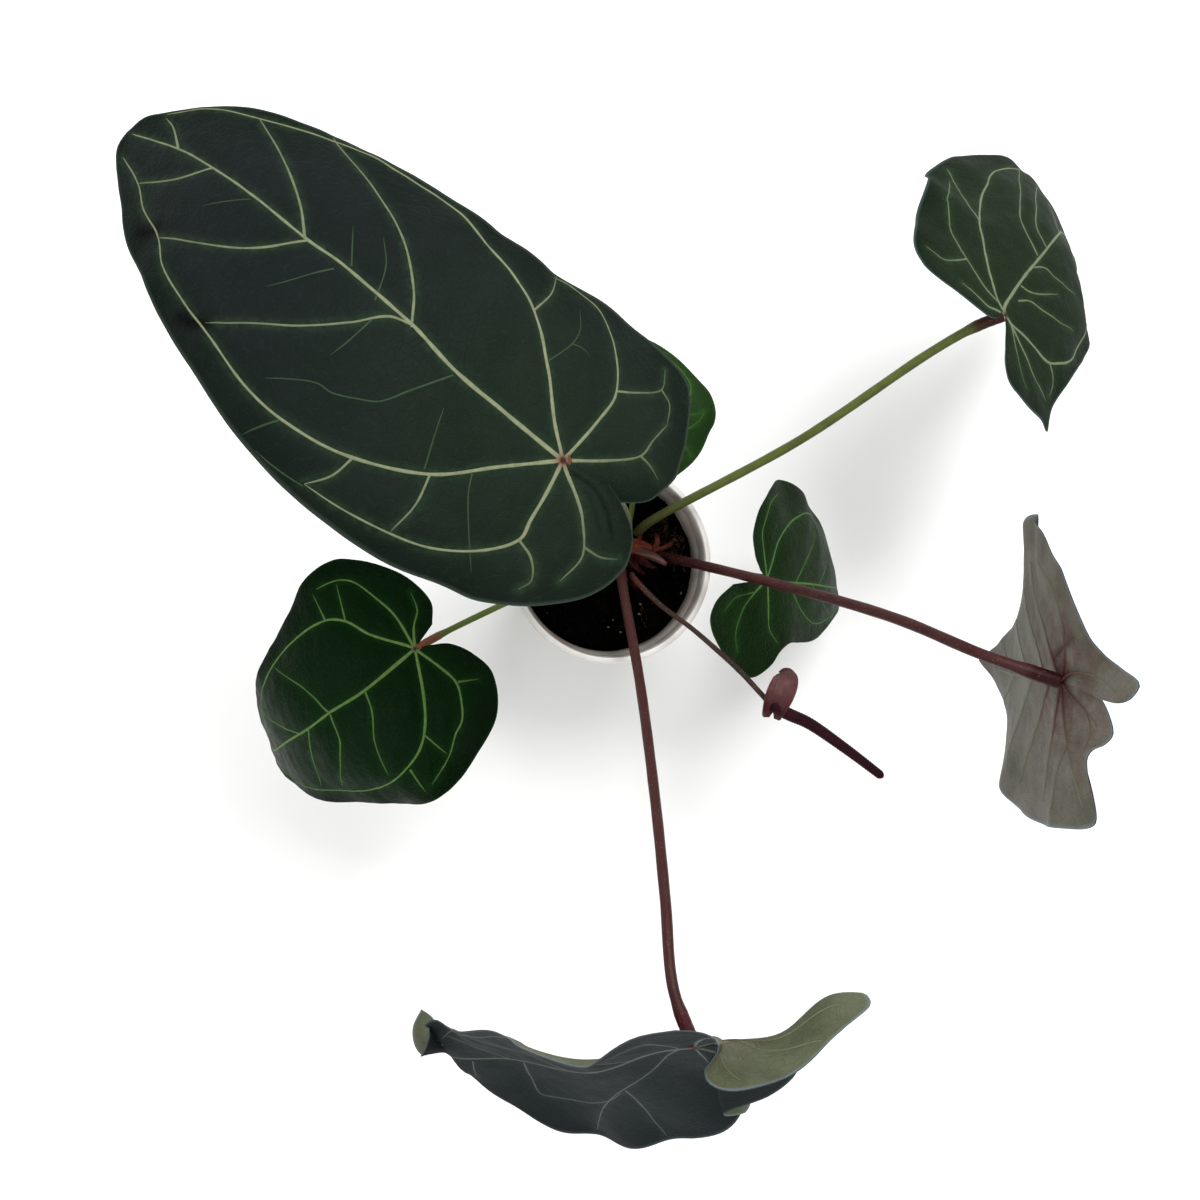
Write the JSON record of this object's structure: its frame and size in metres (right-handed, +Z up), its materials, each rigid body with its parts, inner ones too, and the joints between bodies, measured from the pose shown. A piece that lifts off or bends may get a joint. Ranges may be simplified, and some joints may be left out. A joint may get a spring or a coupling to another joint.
{
  "type": "potted anthurium hybrid",
  "caption": "Young velvet-leaved anthurium in a round white nursery pot: large drooping heart-shaped leaves on long stalks, and one small dark flower spike.",
  "frame": {"origin": "centre of the pot's underside, in the plane that the pot stands on", "axes": "+Z up out of the pot; +X and +Y are the right and the top of the plant seen from above, with the largest leaf toward -X +Y"},
  "size_m": [0.6008, 0.5911, 0.402],
  "materials": {
    "velvet_leaf": "dark green velvet with pale veins, paler and matt underneath",
    "young_leaf": "fresh green satin with pale green veins",
    "green_petiole": "smooth olive green stalk, dark red at its upper joint",
    "red_petiole": "smooth brown-red stalk, purple at its upper joint",
    "pot_plastic": "off-white, smooth and slightly glossy",
    "bark_mix": "dark crumbly mix of bark and peat, matt",
    "stem_and_roots": "orange-brown bark and dry papery sheaths",
    "new_shoot": "purplish pink, satin",
    "flower_stalk": "thin brown stalk, satin",
    "spathe": "dusty pink, satin",
    "spadix": "dark maroon with a fine net of tiny flowers"
  },
  "bodies": {
    "root": {"blade_north_west": "velvet_leaf", "petiole_north_west": "green_petiole", "blade_north_east": "velvet_leaf", "petiole_north_east": "green_petiole", "blade_east": "velvet_leaf", "petiole_east": "red_petiole", "blade_south": "velvet_leaf", "petiole_south": "red_petiole", "blade_south_west": "young_leaf", "petiole_south_west": "green_petiole", "blade_north": "young_leaf", "petiole_north": "green_petiole", "blade_south_east": "young_leaf", "petiole_south_east": "green_petiole", "pot": "pot_plastic", "soil": "bark_mix", "crown": "stem_and_roots", "new_shoot": "new_shoot", "peduncle": "flower_stalk", "spathe": "spathe", "spadix": "spadix"}
  },
  "joints": []
}
